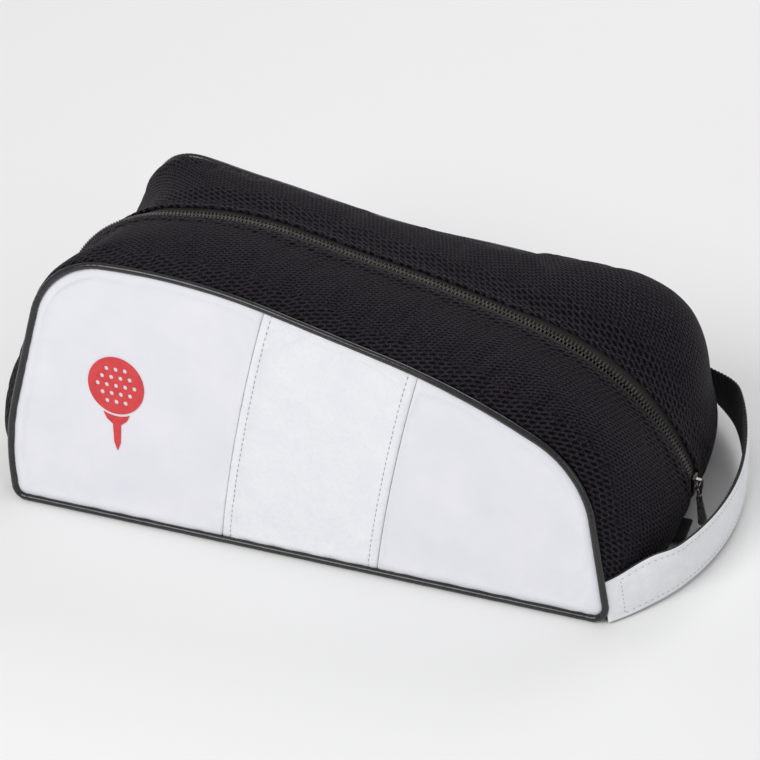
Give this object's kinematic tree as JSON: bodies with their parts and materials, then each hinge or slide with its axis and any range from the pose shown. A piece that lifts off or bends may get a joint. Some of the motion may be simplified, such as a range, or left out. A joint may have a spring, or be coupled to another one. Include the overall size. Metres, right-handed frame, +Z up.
{
  "type": "golf shoe bag",
  "caption": "Zip-top shoe bag with white padded side panels, a black mesh top, piped seams, a flat base and a loop handle at the toe end.",
  "frame": {"origin": "centre of the base, on the surface that the bag stands on", "axes": "+X along the bag towards the toe end and its loop handle, +Y towards the far side panel, +Z up"},
  "size_m": [0.4092, 0.2028, 0.1536],
  "materials": {
    "white_pu_matte": "matte white PU with a fine leather grain",
    "white_pu_gloss": "smooth, slightly glossy white PU",
    "base_pu": "black pebbled PU",
    "foam": "dark grey foam padding",
    "lining": "black woven lining",
    "webbing": "black ribbed webbing",
    "piping_vinyl": "glossy black vinyl piping",
    "mesh": "black polyester mesh",
    "zipper_tape": "black woven zipper tape",
    "zipper_coil": "black nylon coil",
    "gunmetal": "dark gunmetal",
    "board": "stiff base board",
    "red_vinyl": "satin red vinyl"
  },
  "bodies": {
    "base": {"bottom_panel": "base_pu", "base_board": "board", "base_lining": "lining", "base_piping_toe": "piping_vinyl", "base_piping_heel": "piping_vinyl", "zipper_top_stops": "gunmetal", "zipper_bottom_stop": "gunmetal", "toe_tab": "webbing"},
    "near_half": {"heel_panel_near": "white_pu_matte", "centre_panel_near": "white_pu_gloss", "toe_panel_near": "white_pu_matte", "panel_foam_near": "foam", "panel_lining_near": "lining", "seam_binding_near": "webbing", "piping_near": "piping_vinyl", "mesh_top_near": "mesh", "zipper_tape_near": "zipper_tape", "zipper_coil_near": "zipper_coil", "ball_mark": "red_vinyl"},
    "far_half": {"heel_panel_far": "white_pu_matte", "centre_panel_far": "white_pu_gloss", "toe_panel_far": "white_pu_matte", "panel_foam_far": "foam", "panel_lining_far": "lining", "seam_binding_far": "webbing", "piping_far": "piping_vinyl", "mesh_top_far": "mesh", "zipper_tape_far": "zipper_tape", "zipper_coil_far": "zipper_coil"},
    "zipper_slider": {"zipper_slider": "gunmetal", "slider_bridge": "gunmetal"},
    "pull_ring": {"pull_ring": "gunmetal"},
    "puller": {"puller": "gunmetal"},
    "handle": {"handle_face": "white_pu_matte", "handle_backing": "webbing"}
  },
  "joints": [
    {"name": "mouth_open", "type": "hinge", "parent": "base", "child": "near_half", "pos_m": [0, -0.0995, 0.0021], "axis": [1, 0, 0], "range_deg": [0, 22], "deforming": ["zipper_tape_near", "zipper_coil_near"]},
    {"name": "far_half_open", "type": "hinge", "parent": "base", "child": "far_half", "pos_m": [0, 0.0995, 0.0021], "axis": [-1, 0, 0], "range_deg": [0, 22], "deforming": ["zipper_tape_far", "zipper_coil_far"]},
    {"name": "slider_travel", "type": "hinge", "parent": "base", "child": "zipper_slider", "pos_m": [0.00461, -0.006, 0.02908], "axis": [-0.0314, -0.9995, 0.0007], "range_deg": [0, 176.42]},
    {"name": "ring_swing", "type": "hinge", "parent": "zipper_slider", "child": "pull_ring", "pos_m": [0.20052, -0.012, 0.03003], "axis": [0, -1, 0], "range_deg": [0, 10]},
    {"name": "puller_swing", "type": "hinge", "parent": "pull_ring", "child": "puller", "pos_m": [0.20052, -0.012, 0.02103], "axis": [0, -1, 0], "range_deg": [0, 20]},
    {"name": "handle_lift", "type": "hinge", "parent": "base", "child": "handle", "pos_m": [0.181, 0, 0.0225], "axis": [0, -0.9991, -0.0421], "range_deg": [0, 11]}
  ],
  "couplings": [
    {"joint": "far_half_open", "follows": "mouth_open", "ratio": 1},
    {"joint": "slider_travel", "follows": "mouth_open", "ratio": 8.0184}
  ]
}
